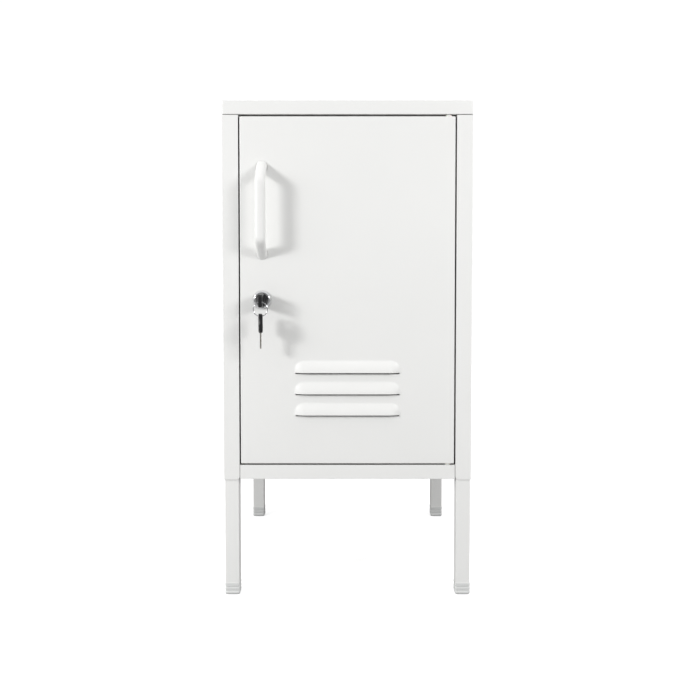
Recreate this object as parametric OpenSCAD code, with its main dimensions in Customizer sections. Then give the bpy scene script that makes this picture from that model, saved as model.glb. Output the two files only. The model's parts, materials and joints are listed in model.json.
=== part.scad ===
// Bedside locker cabinet: a folded sheet steel case on four legs, one hinged
// door with a bow handle, three louvres and a cam lock with two keys on a ring.
// The origin is on the ground under the middle of the object. +Z is up and the
// door faces -Y.

/* [Case] */
// Overall width
body_w = 350; // [330:5:420]
// Depth from the door's face to the back sheet
body_d = 400; // [360:5:480]
// Overall height with the legs
body_h = 700; // [660:10:860]
// Height of the top panel's folded edge
top_lip = 20; // [18:1:26]
// Height of the rail below the door
rail_h = 21; // [19:1:26]
// Width of the front stiles
stile_w = 22; // [22:1:28]
// Thickness of the sheet steel
sheet = 1; // [0.8:0.1:1.2]
// Height of the shelf's top face
shelf_z = 446; // [440:2:520]

/* [Legs] */
// Height of the case above the ground
case_z = 166; // [140:2:200]
// Side of the square leg tube
leg_w = 20; // [18:0.5:20]
// Wall of the leg tube
leg_wall = 1.2; // [1:0.1:1.5]
// Height of the clear foot cap
foot_h = 17; // [14:1:22]
// Solid part of the foot cap below the tube
foot_sole = 6; // [4:0.5:8]

/* [Door] */
// Gap between the door and its frame
door_gap = 2; // [2:0.1:3]
// Depth of the door's folded edges
door_depth = 18; // [17:0.5:18]
// Distance of the hinge pins from the door's hinged edge
pin_inset = 9; // [8.5:0.1:9.5]
// Distance of the hinge pins behind the door's face
pin_back = 5; // [4.6:0.1:5]
// Diameter of the hinge pins
pin_d = 5; // [4:0.1:5]
// Number of louvres
louvres = 3; // [1:1:4]
// Width of a louvre at its open edge
louvre_w = 151; // [100:1:180]
// Width of a louvre at its top
louvre_top_w = 128; // [80:1:128]
// Height of a louvre
louvre_h = 17; // [14:1:20]
// How far a louvre stands out
louvre_out = 6.5; // [6:0.1:8]
// Distance from one louvre to the next
louvre_pitch = 30; // [26:1:36]
// Height of the lowest louvre's open edge
louvre_z = 258.5; // [240:0.5:262]

/* [Handle] */
// Overall height of the handle
handle_h = 138; // [130:1:150]
// Length of the straight grip
grip_l = 89; // [80:1:92]
// Width of the handle
handle_w = 14.6; // [12:0.2:16]
// How far the handle stands out
handle_out = 30; // [28:0.5:34]
// Thickness of the grip
grip_t = 8.5; // [7:0.5:9]
// Height of the handle's middle
handle_z = 547; // [540:1:560]
// Distance of the handle and the lock from the door's middle
handle_x = 120; // [112:1:122]

/* [Lock and keys] */
// Height of the lock
lock_z = 421.5; // [410:0.5:424]
// Diameter of the lock's bezel
bezel_d = 25; // [24:0.5:28]
// Length of the cam from the axis to its tip
cam_l = 31; // [29:0.5:32]
// Turn of the lock and its cam
lock_turn = 0; // [0:5:90]
// Length of a key's plastic head
head_l = 26; // [24:0.5:28]
// Width of a key's plastic head
head_w = 20; // [19.5:0.5:20]
// Width of a key's plastic head at its outer end
head_end_w = 16.6; // [15:0.2:19]
// Thickness of a key's plastic head
head_t = 5.2; // [5:0.2:6.4]
// Length of a key's blade
blade_l = 22; // [18:0.5:22]
// Outer diameter of the split ring
ring_d = 21; // [21:0.1:22]
// Twist of the hanging spare key about the vertical
spare_twist = 9; // [-10:1:10]

/* [Hidden] */
$fn = 64;

paint = [0.94, 0.94, 0.93];
zinc = [0.72, 0.73, 0.75];
chrome = [0.84, 0.85, 0.87];
dark_chrome = [0.2, 0.2, 0.21];
nickel = [0.78, 0.76, 0.7];
rubber = [0.2, 0.2, 0.2];
black = [0.08, 0.08, 0.09];
clear = [0.86, 0.88, 0.88, 0.6];
nylon = [0.97, 0.97, 0.95];

// Fastener sizes: M4 for the case and handle, M5 for the legs
case_screw_d = 4;
case_head_d = 8;
case_head_h = 2;
case_nut_h = 3;
leg_bolt_d = 5;
leg_head_d = 10;
leg_head_h = 2.6;
leg_nut_h = 4;
hole_play = 0.4;
fit = 0.2;

// Lock and key proportions
bezel_t = 4;
barrel_r = 9.4;
barrel_l = 21;
plug_head_r = 8.7;
plug_head_t = 3;
plug_r = 6.8;
running = 0.1;
cam_t = 2;
cam_w = 16;
cam_gap = 0.4;
square_w = 8;
head_gap = 1.5;
head_hole_r = 4;
head_hole_end = 5.7;
blade_w = 8;
blade_t = 2;
tang_l = 8;
wire_r = 0.9;
ring_drop = 4.6;
wire_play = 0.3;

// Reach of the keys and the handle in front of the door
key_reach = bezel_t + head_gap + head_l;
ring_reach = key_reach - head_hole_end;
spare_half_depth = head_w / 2 * cos(spare_twist) + head_t / 2 * sin(abs(spare_twist));
front_reach = max(handle_out, ring_reach + spare_half_depth);

half_w = body_w / 2;
front_y = (front_reach - body_d - case_head_h) / 2;
back_y = front_y + body_d;
top_z = body_h - top_lip;
floor_z = case_z + rail_h;
rail_z = case_z + 1;
open_half = half_w - stile_w;
inner_half = half_w - sheet;
plate_t = 2;
plate_z = floor_z - sheet - plate_t;
return_w = 15;

// Door, frame and hinge
door_half = open_half - door_gap;
door_low = floor_z + door_gap;
door_high = top_z - door_gap;
door_lip = 12;
jamb_d = 21;
stop_w = 10;
pin_x = door_half - pin_inset;
pin_y = front_y + pin_back;
pin_l = 10;
pin_head_d = 7.4;
pin_head_h = 1.5;
bush_r = 3.5;
bush_l = 8;
bush_flange_r = 4.5;
bush_flange_t = door_gap - 0.3;
hinge_plate_y = front_y + door_depth + 1;
hinge_plate_x = 128;
bumper_r = 3.6;
bumper_play = 0.3;

// Lock, keys and ring
lock_x = -handle_x;
ring_y = front_y - ring_reach;
ring_mid_r = ring_d / 2 - wire_r;
rim_mid = (head_hole_r + head_w / 2) / 2;
ring_z = lock_z - rim_mid - ring_drop;
wire_top = ring_mid_r - wire_r;
spare_hole_z = ring_z - sqrt(pow(wire_top, 2) - pow(head_t / 2, 2)) + wire_play - head_hole_r;

// Legs
leg_x = inner_half - leg_w;
leg_front_y = front_y + sheet;
leg_back_y = back_y - 3 * sheet - fit - leg_w;
leg_plate_w = 45;
leg_plate_d = 50;
bolt_row = 36;
bolt_near = 11;
bolt_far = 37;
cap_wall = 0.7;

// Handle fixings
foot_t = 14;
grip_corner = 4;
handle_screw_z = handle_h / 2 - 6.5;
handle_screw_in = 5;

shelf_front = front_y + 45;
shelf_back = back_y - 2 * sheet - 2;
shelf_lip = 18;
anchor_d = 6;
anchor_x = 100;
anchor_z = top_z - 45;

SIDES = [-1, 1];
CASE_SCREW_Y = [front_y + 60, (front_y + back_y) / 2, back_y - 60];
BACK_SCREW_Z = [floor_z + 50, (floor_z + top_z) / 2, top_z - 60];

// A block between two opposite corners
module block(low, high) translate(low) cube(high - low);

// A cylinder along +Y that starts at the given point
module rod_y(start, r, length) translate(start) rotate([-90, 0, 0]) cylinder(r = r, h = length);

// A solid turned about the Y axis: the outline's first value is the radius,
// its second is the distance along +Y
module turned_y(start, outline) translate(start) rotate([-90, 0, 0]) rotate_extrude() polygon(outline);

// A rectangle around the origin with true arcs at its corners
module round_rect(w, h, r) {
  square([w - 2 * r, h], center = true);
  square([w, h - 2 * r], center = true);
  for (sx = SIDES, sy = SIDES) translate([sx * (w / 2 - r), sy * (h / 2 - r)]) circle(r = r);
}

// A pan head screw along +Z, with its bearing face at z = 0
module screw(d, head_d, head_h, length) {
  cylinder(d = d, h = length);
  translate([0, 0, -head_h]) cylinder(d = head_d, h = head_h);
}

// A hexagon nut on z = 0
module nut(d, height) difference() {
  cylinder(d = d * 2, h = height, $fn = 6);
  translate([0, 0, -1]) cylinder(d = d + running, h = height + 2);
}

// Places of the screws that join the top panel to the side panels
module at_top_screws() for (s = SIDES, y = CASE_SCREW_Y) translate([s * (half_w - 10), y, 0]) children();

// Places of the screws along the back edges of the side panels
module at_back_screws() for (s = SIDES, z = BACK_SCREW_Z) translate([s * (half_w - 8), 0, z]) children();

// Places of the screws that join the back panel to the bottom panel
module at_skirt_screws() for (s = SIDES) translate([s * 90, 0, rail_z + 10]) children();

// Places of the bolts that hold the legs, measured from each leg's outer corner
module at_leg_bolts() for (s = SIDES) {
  for (x = [bolt_near, bolt_far]) {
    translate([s * (inner_half - x), leg_front_y + bolt_row, 0]) children();
    translate([s * (inner_half - x), leg_back_y + leg_w - bolt_row, 0]) children();
  }
}

module top_panel() color(paint) difference() {
  block([-half_w, front_y, top_z], [half_w, back_y, body_h]);
  block([-inner_half, front_y + sheet, top_z + sheet], [inner_half, back_y - sheet, body_h - sheet]);
  block([return_w - half_w, front_y + return_w, top_z - 1],
        [half_w - return_w, back_y - return_w, top_z + 2 * sheet]);
  at_top_screws() translate([0, 0, top_z - 1]) cylinder(d = case_screw_d + hole_play, h = 3);
  translate([pin_x, pin_y, top_z - 1]) cylinder(d = pin_d + hole_play, h = 3);
}

// A side panel for x < 0. The stile's flange at the frame opening turns towards
// the door as a stop on the latch side, and away from it on the hinge side.
module side_panel(stop) {
  flange_x = stop ? -open_half : -open_half - stop_w;
  difference() {
    union() {
      block([-half_w, front_y, case_z], [-inner_half, back_y, top_z]);
      block([-half_w, front_y, case_z + 5], [-open_half, front_y + sheet, top_z]);
      block([-half_w, front_y, case_z], [-open_half - 5, front_y + sheet, case_z + 5]);
      translate([-open_half - 5, front_y, case_z + 5]) rotate([-90, 0, 0]) cylinder(r = 5, h = sheet);
      block([-open_half - sheet, front_y, floor_z], [-open_half, front_y + jamb_d, top_z]);
      block([flange_x - sheet, front_y + jamb_d - sheet, floor_z],
            [flange_x + stop_w, front_y + jamb_d, top_z]);
      block([-half_w, back_y - sheet, case_z], [return_w - half_w, back_y, top_z]);
      block([-half_w, front_y, top_z - sheet], [return_w - half_w, back_y, top_z]);
    }
    at_top_screws() translate([0, 0, top_z - 2]) cylinder(d = case_screw_d + hole_play, h = 3);
    at_back_screws() rod_y([0, back_y - 2, 0], (case_screw_d + hole_play) / 2, 3);
  }
}

module left_side_panel() color(paint) difference() {
  side_panel(true);
  at_bumpers() rod_y([0, front_y + jamb_d - 2, 0], 1.6, 3);
}

module right_side_panel() color(paint) mirror([1, 0, 0]) side_panel(false);

module back_panel() color(paint) difference() {
  union() {
    block([fit - inner_half, back_y - 2 * sheet, case_z], [inner_half - fit, back_y - sheet, top_z - sheet]);
    block([return_w + 1 - half_w, back_y - return_w, top_z - sheet],
          [half_w - return_w - 1, back_y - sheet, top_z]);
  }
  at_back_screws() rod_y([0, back_y - 3, 0], (case_screw_d + hole_play) / 2, 3);
  at_skirt_screws() rod_y([0, back_y - 3, 0], (case_screw_d + hole_play) / 2, 3);
  for (s = SIDES) rod_y([s * anchor_x, back_y - 3, anchor_z], anchor_d / 2, 3);
}

module bottom_panel() color(paint) difference() {
  skirt_front = leg_front_y + leg_plate_d + 2;
  skirt_back = leg_back_y + leg_w - leg_plate_d - 2;
  union() {
    block([-inner_half, front_y + sheet, floor_z - sheet], [inner_half, back_y - 2 * sheet, floor_z]);
    block([fit - open_half, front_y, rail_z], [open_half - fit, front_y + sheet, floor_z]);
    block([5 - open_half, front_y, rail_z], [open_half - 5, front_y + 12, rail_z + sheet]);
    for (s = [0, 1]) mirror([s, 0, 0]) {
      block([-inner_half, skirt_front, rail_z], [sheet - inner_half, skirt_back, floor_z]);
    }
    block([leg_plate_w + 2 - inner_half, back_y - 3 * sheet, rail_z],
          [inner_half - leg_plate_w - 2, back_y - 2 * sheet, floor_z]);
  }
  at_leg_bolts() translate([0, 0, floor_z - 2]) cylinder(d = leg_bolt_d + hole_play, h = 3);
  at_skirt_screws() rod_y([0, back_y - 4, 0], (case_screw_d + hole_play) / 2, 3);
  translate([pin_x, pin_y, floor_z - 2]) cylinder(d = pin_d + hole_play, h = 3);
}

module shelf() color(paint) {
  half = inner_half - 1;
  block([-half, shelf_front, shelf_z - sheet], [half, shelf_back, shelf_z]);
  block([return_w - half, shelf_front, shelf_z - shelf_lip], [half - return_w, shelf_front + sheet, shelf_z]);
  block([return_w - half, shelf_back - sheet, shelf_z - shelf_lip], [half - return_w, shelf_back, shelf_z]);
}

// An angle strip on the side wall that carries one edge of the shelf
module shelf_support() {
  near = shelf_front + 15;
  far = shelf_back - 15;
  block([-inner_half, near, shelf_z - 2 * sheet], [12 - inner_half, far, shelf_z - sheet]);
  block([-inner_half, near, shelf_z - 15], [sheet - inner_half, far, shelf_z - sheet]);
}

module left_shelf_support() color(paint) shelf_support();
module right_shelf_support() color(paint) mirror([1, 0, 0]) shelf_support();

// A leg whose outer corner is at the origin, running towards +X and +Y: a
// square tube with a welded plate that bolts under the cabinet's floor
module leg() {
  difference() {
    union() {
      block([0, 0, foot_sole], [leg_w, leg_w, plate_z + plate_t]);
      block([0, leg_w, plate_z], [leg_plate_w, leg_plate_d, plate_z + plate_t]);
    }
    block([leg_wall, leg_wall, foot_sole - 1], [leg_w - leg_wall, leg_w - leg_wall, plate_z]);
    for (x = [bolt_near, bolt_far]) {
      translate([x, bolt_row, plate_z - 1]) cylinder(d = leg_bolt_d + hole_play, h = plate_t + 2);
    }
  }
}

// A clear cap pushed over the end of a leg
module foot() difference() {
  block([-cap_wall, -cap_wall, 0], [leg_w + cap_wall, leg_w + cap_wall, foot_h]);
  block([0, 0, foot_sole], [leg_w, leg_w, foot_h + 1]);
}

// Moves a shape with its outer corner at the origin to one of the four corners
module at_corner(right, back) {
  mirror([right ? 1 : 0, 0, 0]) {
    if (back) translate([-inner_half, leg_back_y + leg_w, 0]) mirror([0, 1, 0]) children();
    else translate([-inner_half, leg_front_y, 0]) children();
  }
}

module front_left_leg() color(paint) at_corner(false, false) leg();
module front_right_leg() color(paint) at_corner(true, false) leg();
module back_left_leg() color(paint) at_corner(false, true) leg();
module back_right_leg() color(paint) at_corner(true, true) leg();
module front_left_foot() color(clear) at_corner(false, false) foot();
module front_right_foot() color(clear) at_corner(true, false) foot();
module back_left_foot() color(clear) at_corner(false, true) foot();
module back_right_foot() color(clear) at_corner(true, true) foot();

module leg_bolts() color(zinc) at_leg_bolts() translate([0, 0, floor_z]) mirror([0, 0, 1])
  screw(leg_bolt_d, leg_head_d, leg_head_h, sheet + plate_t + leg_nut_h + 2);

module leg_nuts() color(zinc) at_leg_bolts() translate([0, 0, plate_z - leg_nut_h])
  nut(leg_bolt_d, leg_nut_h);

module case_screws() color(zinc) {
  at_top_screws() translate([0, 0, top_z - sheet])
    screw(case_screw_d, case_head_d, case_head_h, 2 * sheet + case_nut_h + 1);
  at_back_screws() translate([0, back_y, 0]) rotate([90, 0, 0])
    screw(case_screw_d, case_head_d, case_head_h, 2 * sheet + case_nut_h + 1);
  at_skirt_screws() translate([0, back_y - sheet, 0]) rotate([90, 0, 0])
    screw(case_screw_d, case_head_d, case_head_h, 2 * sheet + case_nut_h + 1);
}

module case_nuts() color(zinc) {
  at_top_screws() translate([0, 0, top_z + sheet]) nut(case_screw_d, case_nut_h);
  at_back_screws() translate([0, back_y - 2 * sheet, 0]) rotate([90, 0, 0]) nut(case_screw_d, case_nut_h);
  at_skirt_screws() translate([0, back_y - 3 * sheet, 0]) rotate([90, 0, 0]) nut(case_screw_d, case_nut_h);
}

module top_hinge_plate() color(zinc) difference() {
  block([hinge_plate_x, front_y + sheet + fit, top_z + sheet],
        [inner_half - 4, hinge_plate_y, top_z + sheet + plate_t]);
  translate([pin_x, pin_y, top_z]) cylinder(d = pin_d + running, h = 10);
}

module bottom_hinge_plate() color(zinc) difference() {
  block([hinge_plate_x, front_y + sheet + fit, plate_z], [leg_x - 1, hinge_plate_y, plate_z + plate_t]);
  translate([pin_x, pin_y, plate_z - 1]) cylinder(d = pin_d + running, h = 10);
}

// A headed hinge pin that points up, with its head's bearing face at z = 0
module hinge_pin() screw(pin_d, pin_head_d, pin_head_h, plate_t + sheet + door_gap + pin_l);

module top_hinge_pin() color(zinc) translate([pin_x, pin_y, top_z + sheet + plate_t]) mirror([0, 0, 1]) hinge_pin();
module bottom_hinge_pin() color(zinc) translate([pin_x, pin_y, plate_z]) hinge_pin();

module at_bumpers() for (z = [door_low + 45, door_high - 45]) translate([-open_half + stop_w / 2, 0, z]) children();

// Rubber buttons on the stop flange: a face, a waist in the hole and a barb
module door_bumpers() color(rubber) at_bumpers() {
  rod_y([0, front_y + door_depth + bumper_play, 0], bumper_r, jamb_d - sheet - door_depth - bumper_play);
  rod_y([0, front_y + jamb_d - sheet, 0], 1.5, sheet);
  rod_y([0, front_y + jamb_d, 0], 2.6, 1.6);
}

// One louvre about the middle of its open edge, on the outer face of the door.
// With grow = 0 it is the outer form, and a negative grow gives its inside.
module louvre_form(grow) {
  low = grow < 0 ? -1 : 0;
  high = louvre_h + 1.6 * grow;
  deep = grow < 0 ? sheet + 1 : sheet;
  nose = louvre_out + grow;
  intersection() {
    rotate([90, 0, 90]) linear_extrude(height = louvre_w, center = true)
      polygon([[deep, low], [-nose, low], [-nose, 2.5], [0, high], [deep, high]]);
    translate([0, deep, 0]) rotate([90, 0, 0]) linear_extrude(height = louvre_out + 4)
      polygon([[-louvre_w / 2 - 1.2 * grow, low], [louvre_w / 2 + 1.2 * grow, low],
               [louvre_top_w / 2 + grow, high], [-louvre_top_w / 2 - grow, high]]);
  }
}

module at_louvres() for (i = [0 : louvres - 1]) translate([0, front_y, louvre_z + i * louvre_pitch]) children();

module door_panel() color(paint) difference() {
  union() {
    difference() {
      block([-door_half, front_y, door_low], [door_half, front_y + door_depth, door_high]);
      block([sheet - door_half, front_y + sheet, door_low + sheet],
            [door_half - sheet, front_y + door_depth - sheet, door_high - sheet]);
      block([door_lip - door_half, front_y + sheet, door_low + door_lip],
            [door_half - door_lip, front_y + door_depth + 1, door_high - door_lip]);
    }
    at_louvres() louvre_form(0);
  }
  at_louvres() louvre_form(-sheet);
  rod_y([lock_x, front_y - 1, lock_z], barrel_r + running, sheet + 2);
  for (s = SIDES) {
    rod_y([lock_x, front_y - 1, handle_z + s * handle_screw_z], (case_screw_d + hole_play) / 2, sheet + 2);
  }
  for (z = [door_low, door_high]) {
    translate([pin_x, pin_y, z - 2]) cylinder(r = bush_r + running / 2, h = 4);
  }
}

// A hat section behind the door's face, above the louvres
module door_stiffener() color(paint) {
  low = louvre_z + louvres * louvre_pitch + 12;
  high = door_high - 24;
  inner = front_y + sheet;
  outer = front_y + door_depth - 3;
  for (s = [0, 1]) mirror([s, 0, 0]) {
    block([14, inner, low], [27, inner + sheet, high]);
    block([14, inner, low], [14 + sheet, outer, high]);
  }
  block([-15, outer - sheet, low], [15, outer, high]);
}

// A flanged nylon bush that points down into the door, with its flange on top
module bush() difference() {
  union() {
    translate([0, 0, -bush_l]) cylinder(r = bush_r, h = bush_l);
    cylinder(r = bush_flange_r, h = bush_flange_t);
  }
  translate([0, 0, -bush_l - 1]) cylinder(d = pin_d + running, h = bush_l + 4);
}

module top_hinge_bush() color(nylon) translate([pin_x, pin_y, door_high]) bush();
module bottom_hinge_bush() color(nylon) translate([pin_x, pin_y, door_low]) mirror([0, 0, 1]) bush();

// A bow handle whose two sloping ends meet the door
module handle() color(paint) {
  end = handle_h / 2;
  grip = grip_l / 2;
  difference() {
    translate([lock_x - handle_w / 2, front_y, handle_z]) rotate([90, 0, 90]) linear_extrude(height = handle_w)
      polygon([[0, end], [-handle_out, grip], [-handle_out, -grip], [0, -end],
               [0, foot_t - end], [grip_t - handle_out, grip_corner - grip],
               [grip_t - handle_out, grip - grip_corner], [0, end - foot_t]]);
    for (s = SIDES) {
      rod_y([lock_x, front_y - handle_screw_in, handle_z + s * handle_screw_z],
            (case_screw_d + running) / 2, handle_screw_in + 1);
    }
  }
}

module handle_screws() color(zinc) for (s = SIDES) {
  translate([lock_x, front_y + sheet, handle_z + s * handle_screw_z]) rotate([90, 0, 0])
    screw(case_screw_d, case_head_d, case_head_h, sheet + handle_screw_in - running);
}

// The lock's bezel and threaded barrel, bored for the plug
module lock_body() color(chrome) turned_y([lock_x, front_y, lock_z], [
  [plug_head_r + running, -bezel_t], [bezel_d / 2 - 1.5, -bezel_t], [bezel_d / 2, -1], [bezel_d / 2, 0],
  [barrel_r, 0], [barrel_r, barrel_l], [plug_r + running, barrel_l],
  [plug_r + running, plug_head_t - bezel_t + 0.6], [plug_head_r + running, plug_head_t - bezel_t + 0.6]]);

module lock_nut() color(zinc) translate([lock_x, front_y + sheet, lock_z]) rotate([-90, 0, 0]) difference() {
  cylinder(r = barrel_r + 4.4, h = 4, $fn = 6);
  translate([0, 0, -1]) cylinder(r = barrel_r + running / 2, h = 6);
}

// Everything that turns with the plug is drawn about the lock's axis
module at_lock() translate([lock_x, front_y, lock_z]) rotate([0, lock_turn, 0]) children();

module lock_plug() color(dark_chrome) at_lock() difference() {
  union() {
    turned_y([0, 0, 0], [
      [0, -bezel_t + 0.5], [plug_head_r, -bezel_t + 0.5], [plug_head_r, plug_head_t - bezel_t + 0.5],
      [plug_r, plug_head_t - bezel_t + 0.5], [plug_r, barrel_l], [0, barrel_l]]);
    block([-square_w / 2, barrel_l - 1, -square_w / 2], [square_w / 2, barrel_l + cam_gap + cam_t, square_w / 2]);
  }
  block([-blade_t / 2 - fit, -bezel_t - 1, -blade_w / 2 - fit], [blade_t / 2 + fit, 18, blade_w / 2 + fit]);
  rod_y([0, 19, 0], 2, 10);
}

// The cam points down when the lock is open
module lock_cam() color(zinc) at_lock() difference() {
  union() {
    rod_y([0, barrel_l + cam_gap, 0], cam_w / 2, cam_t);
    block([-cam_w / 2, barrel_l + cam_gap, 5 - cam_l], [cam_w / 2, barrel_l + cam_gap + cam_t, 0]);
    block([5 - cam_w / 2, barrel_l + cam_gap, -cam_l], [cam_w / 2 - 5, barrel_l + cam_gap + cam_t, 0]);
    for (s = SIDES) rod_y([s * (cam_w / 2 - 5), barrel_l + cam_gap, 5 - cam_l], 5, cam_t);
  }
  block([-square_w / 2, barrel_l, -square_w / 2], [square_w / 2, barrel_l + 10, square_w / 2]);
}

module cam_screw() color(zinc) at_lock() translate([0, barrel_l + cam_gap + cam_t, 0]) rotate([90, 0, 0])
  screw(4 - running, 12, 2.4, 4);

// A key about the lock's axis: the face of its head is at y = 0, the blade
// points along +Y and the head lies in the YZ plane
module blade() {
  notch = 1.6;
  difference() {
    block([-blade_t / 2, -tang_l, -blade_w / 2], [blade_t / 2, blade_l, blade_w / 2]);
    for (s = SIDES, i = [0 : 3]) {
      translate([0, 6 + 3.6 * i, s * blade_w / 2]) rotate([45, 0, 0]) cube([2 * blade_t, notch, notch], center = true);
    }
    for (s = SIDES) {
      translate([0, blade_l, s * blade_w / 2]) rotate([45, 0, 0]) cube([2 * blade_t, 3, 3], center = true);
    }
  }
}

module head() difference() {
  translate([0, -head_l / 2, 0]) rotate([90, 0, 90]) linear_extrude(height = head_t, center = true) intersection() {
    round_rect(head_l, head_w, 5.5);
    polygon([[head_l / 2, -head_w / 2], [head_l / 2, head_w / 2], [0, head_w / 2],
             [-head_l / 2, head_end_w / 2], [-head_l / 2, -head_end_w / 2], [0, -head_w / 2]]);
  }
  translate([-head_t, head_hole_end - head_l, 0]) rotate([0, 90, 0]) cylinder(r = head_hole_r, h = 2 * head_t);
  block([-blade_t / 2, -tang_l, -blade_w / 2], [blade_t / 2, 1, blade_w / 2]);
}

module at_key() at_lock() translate([0, -bezel_t - head_gap, 0]) children();

// The spare key hangs with its blade down from the lowest point of the ring
module at_spare() translate([lock_x, ring_y, spare_hole_z + head_hole_end - head_l])
  rotate([-90, 0, spare_twist]) children();

module key_head() color(black) at_key() head();
module key_blade() color(nickel) at_key() blade();

module key_ring() color(chrome) translate([lock_x, ring_y, ring_z]) rotate([90, 0, 0])
  rotate_extrude() translate([ring_mid_r, 0]) circle(r = wire_r);

module spare_key_head() color(black) at_spare() head();
module spare_key_blade() color(nickel) at_spare() blade();

top_panel();
left_side_panel();
right_side_panel();
back_panel();
bottom_panel();
shelf();
left_shelf_support();
right_shelf_support();
front_left_leg();
front_right_leg();
back_left_leg();
back_right_leg();
front_left_foot();
front_right_foot();
back_left_foot();
back_right_foot();
leg_bolts();
leg_nuts();
case_screws();
case_nuts();
top_hinge_plate();
bottom_hinge_plate();
top_hinge_pin();
bottom_hinge_pin();
door_bumpers();
door_panel();
door_stiffener();
top_hinge_bush();
bottom_hinge_bush();
handle();
handle_screws();
lock_body();
lock_nut();
lock_plug();
lock_cam();
cam_screw();
key_head();
key_blade();
key_ring();
spare_key_head();
spare_key_blade();
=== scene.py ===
"""A white sheet steel bedside locker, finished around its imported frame.

Everything is in metres in the row frame: +Z up, the door faces -Y. Lengths that
come from no CAD node are written in millimetres and multiplied by MM.
"""

import json
import math

import bmesh
import bpy
from mathutils import Matrix, Vector


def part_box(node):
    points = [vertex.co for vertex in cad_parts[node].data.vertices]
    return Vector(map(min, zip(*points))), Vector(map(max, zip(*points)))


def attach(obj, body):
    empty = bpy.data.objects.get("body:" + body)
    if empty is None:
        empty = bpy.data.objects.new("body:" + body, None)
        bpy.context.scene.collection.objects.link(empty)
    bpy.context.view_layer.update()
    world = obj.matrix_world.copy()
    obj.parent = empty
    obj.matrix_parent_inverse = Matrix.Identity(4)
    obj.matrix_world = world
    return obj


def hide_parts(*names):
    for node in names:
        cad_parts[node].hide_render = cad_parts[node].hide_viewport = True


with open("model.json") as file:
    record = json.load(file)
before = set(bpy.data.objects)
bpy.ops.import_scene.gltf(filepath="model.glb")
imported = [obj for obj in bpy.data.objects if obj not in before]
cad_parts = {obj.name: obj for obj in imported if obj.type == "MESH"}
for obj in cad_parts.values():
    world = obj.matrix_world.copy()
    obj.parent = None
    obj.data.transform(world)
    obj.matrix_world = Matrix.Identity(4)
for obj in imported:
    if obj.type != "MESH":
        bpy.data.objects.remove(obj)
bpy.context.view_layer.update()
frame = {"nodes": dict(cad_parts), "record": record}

MM = 0.001
NODES = frame["nodes"]
BODY = {n: body for body, names in frame["record"]["behaviour"]["bodies"].items() for n in names}
SLOT = {part["node"]: part["material_slot"] for part in frame["record"]["subparts"]}
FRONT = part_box("bottom_panel")[0].y
SHEET = 1 * MM

# Two lengths closer than this are the same
TOUCH = 0.01 * MM

# Radii of sheet folds, tubes and cut edges. SEAM draws a face back to show a fine gap,
# RAIL_HALF is where the bottom rail meets the stiles, and edges above SOFT_ANGLE look sharp.
FOLD_R = 1.0 * MM
TUBE_R = 2.2 * MM
SEAM = 0.7 * MM
RAIL_HALF = 152.8 * MM
CUT_R = 0.25 * MM
SOFT_ANGLE = math.radians(35)

# Louvres: the heights of their open edges, then one hood's height, its half length at the
# open edge and at the top, how far it stands out, how full its curve is, the length of its
# sloping end, how soft its crest is, and the width of the slot
LOUVRE_BOTTOMS = [258.5 * MM, 288.5 * MM, 318.5 * MM]
LOUVRE_H = 17 * MM
LOUVRE_HALF = 75.5 * MM
LOUVRE_TOP_HALF = 64 * MM
LOUVRE_OUT = 4.8 * MM
LOUVRE_BULGE = 1.7
LOUVRE_END = 10 * MM
LOUVRE_BLEND = 0.12
LOUVRE_SLOT = 1.8 * MM

# Width of the door's inner lips
DOOR_LIP = 12 * MM


# ---------------------------------------------------------------- mesh helpers

def welded(node):
    """A CAD node's mesh with its split points joined and its flat faces whole."""
    bm = bmesh.new()
    bm.from_mesh(NODES[node].data)
    bmesh.ops.remove_doubles(bm, verts=bm.verts, dist=0.002 * MM)
    bmesh.ops.dissolve_limit(bm, angle_limit=math.radians(1), verts=bm.verts, edges=bm.edges)
    bm.normal_update()
    return bm


def round_edges(bm, edges, width, steps=2):
    bmesh.ops.bevel(bm, geom=edges, offset=width, offset_type="OFFSET", segments=steps,
                    profile=0.5, affect="EDGES", clamp_overlap=True, loop_slide=True)
    bm.normal_update()


def corner(edge, least=40):
    """True where an edge is sharper than the given angle in degrees."""
    return edge.is_manifold and edge.calc_face_angle(0) > math.radians(least)


def is_fold(edge):
    """True for an outer fold of sheet metal: a long convex edge between two wide faces."""
    length = edge.calc_length()
    if length < 4 * MM or not edge.is_convex or not corner(edge, 60):
        return False
    return all(face.calc_area() / length > 3 * MM for face in edge.link_faces)


def to_piece(name, bm):
    mesh = bpy.data.meshes.new(name)
    bm.to_mesh(mesh)
    bm.free()
    piece = bpy.data.objects.new(name, mesh)
    bpy.context.scene.collection.objects.link(piece)
    return piece


def settle(piece):
    """Makes the result of a piece's modifiers its own mesh."""
    bpy.context.view_layer.update()
    graph = bpy.context.evaluated_depsgraph_get()
    result = bpy.data.meshes.new_from_object(piece.evaluated_get(graph))
    piece.modifiers.clear()
    piece.data = result


def cut_out(piece, cutters):
    """Takes the shape of a bmesh of closed cutters out of a piece."""
    tool = to_piece("cutter", cutters)
    cut = piece.modifiers.new("cut", "BOOLEAN")
    cut.object = tool
    cut.operation = "DIFFERENCE"
    cut.solver = "EXACT"
    settle(piece)
    bpy.data.objects.remove(tool)


def stand_for(piece, node):
    """The piece stands in for a CAD node, which it hides: it joins the node's body, takes the finish of the
    node's slot, and is shaded smooth.
    """
    mesh = piece.data
    mesh.shade_smooth()
    mesh.set_sharp_from_angle(angle=SOFT_ANGLE)
    normals = piece.modifiers.new("normals", "WEIGHTED_NORMAL")
    normals.keep_sharp = True
    mesh.materials.clear()
    mesh.materials.append(FINISHES[SLOT[node]])
    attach(piece, BODY[node])
    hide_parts(node)


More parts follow.
